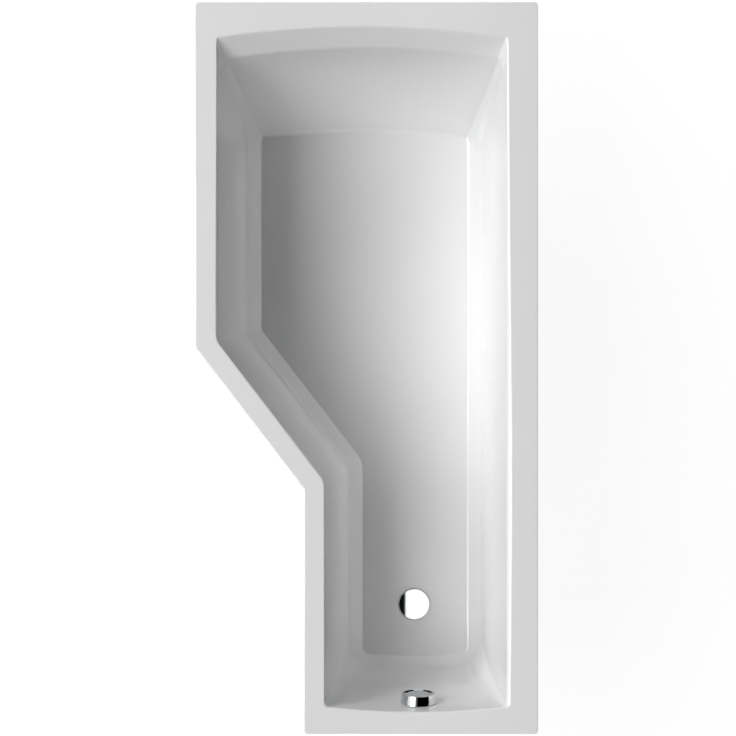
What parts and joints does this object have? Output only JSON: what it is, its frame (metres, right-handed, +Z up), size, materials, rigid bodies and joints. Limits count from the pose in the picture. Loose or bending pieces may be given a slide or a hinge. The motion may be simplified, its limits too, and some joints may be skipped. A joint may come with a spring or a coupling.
{
  "type": "bathtub",
  "caption": "Rectangular built-in bath whose basin narrows at a slanted step, with a sloped backrest, pop-up waste worked by an overflow knob, trap and screw legs.",
  "frame": {"origin": "on the floor below the middle of the rim's outline", "axes": "+X towards the long straight side, +Y towards the head end, +Z up"},
  "size_m": [0.75, 1.6, 0.6],
  "materials": {
    "acrylic": "gloss",
    "fibre": "rough",
    "chipboard": "matte",
    "zinc_steel": "satin",
    "chrome": "polished",
    "grey_plastic": "satin",
    "white_plastic": "satin",
    "black_plastic": "satin",
    "rubber": "matte",
    "brass": "satin"
  },
  "bodies": {
    "bath": {"tub_shell": "acrylic", "fibre_backing": "fibre", "base_board": "chipboard", "head_crossbar": "zinc_steel", "foot_crossbar": "zinc_steel", "board_screws": "zinc_steel", "leg_weld_nuts": "zinc_steel", "leg_lock_nuts": "zinc_steel", "drain_seal": "rubber", "waste_gasket": "rubber", "drain_flange": "chrome", "waste_body": "white_plastic", "shaft_seal": "rubber", "cable_sheath": "black_plastic", "cable_clips": "black_plastic", "overflow_gasket": "rubber", "overflow_body": "white_plastic", "overflow_face_plate": "white_plastic", "overflow_screws": "zinc_steel", "overflow_pipe": "white_plastic", "lower_pipe_nut": "grey_plastic", "lower_pipe_seal": "rubber", "upper_pipe_nut": "grey_plastic", "upper_pipe_seal": "rubber", "trap_inlet_nut": "grey_plastic", "trap_inlet_seal": "rubber", "trap_bend": "white_plastic", "trap_cleaning_cap": "grey_plastic", "trap_cap_seal": "rubber", "trap_outlet_nut": "grey_plastic", "trap_outlet_seal": "rubber", "outlet_elbow": "white_plastic"},
    "knob": {"overflow_knob": "chrome", "knob_spindle": "brass", "cable_drum": "black_plastic"},
    "plug": {"plug_cover": "chrome", "plug_seal": "rubber", "plug_stem": "brass"},
    "lift_lever": {"lift_shaft": "brass", "crank_arm": "zinc_steel"},
    "pull_wire": {"pull_wire": "zinc_steel"},
    "head_left_leg": {"head_left_leg_spindle": "zinc_steel", "head_left_foot_pad": "black_plastic"},
    "head_right_leg": {"head_right_leg_spindle": "zinc_steel", "head_right_foot_pad": "black_plastic"},
    "foot_left_leg": {"foot_left_leg_spindle": "zinc_steel", "foot_left_foot_pad": "black_plastic"},
    "foot_right_leg": {"foot_right_leg_spindle": "zinc_steel", "foot_right_foot_pad": "black_plastic"}
  },
  "joints": [
    {"name": "knob_turn", "type": "hinge", "parent": "bath", "child": "knob", "pos_m": [0.115, -0.74708, 0.52], "axis": [0, 0.9981, 0.0614], "range_deg": [0, 90]},
    {"name": "plug_lift", "type": "slide", "parent": "bath", "child": "plug", "axis": [0, 0, 1], "range_m": [0, 0.01]},
    {"name": "lever_turn", "type": "hinge", "parent": "bath", "child": "lift_lever", "pos_m": [0.115, -0.588, 0.13], "axis": [1, 0, 0], "range_deg": [0, 32.1]},
    {"name": "wire_pull", "type": "slide", "parent": "bath", "child": "pull_wire", "axis": [0, -1, 0], "range_m": [0, 0.01]},
    {"name": "head_left_leg_height", "type": "slide", "parent": "bath", "child": "head_left_leg", "axis": [0, 0, 1], "range_m": [-0.02, 0.008]},
    {"name": "head_right_leg_height", "type": "slide", "parent": "bath", "child": "head_right_leg", "axis": [0, 0, 1], "range_m": [-0.02, 0.008]},
    {"name": "foot_left_leg_height", "type": "slide", "parent": "bath", "child": "foot_left_leg", "axis": [0, 0, 1], "range_m": [-0.02, 0.008]},
    {"name": "foot_right_leg_height", "type": "slide", "parent": "bath", "child": "foot_right_leg", "axis": [0, 0, 1], "range_m": [-0.02, 0.008]}
  ],
  "couplings": [
    {"joint": "plug_lift", "follows": "knob_turn", "m_per_rad": 0.0063171},
    {"joint": "lever_turn", "follows": "knob_turn", "ratio": 0.35556},
    {"joint": "wire_pull", "follows": "knob_turn", "m_per_rad": 0.0063171}
  ]
}
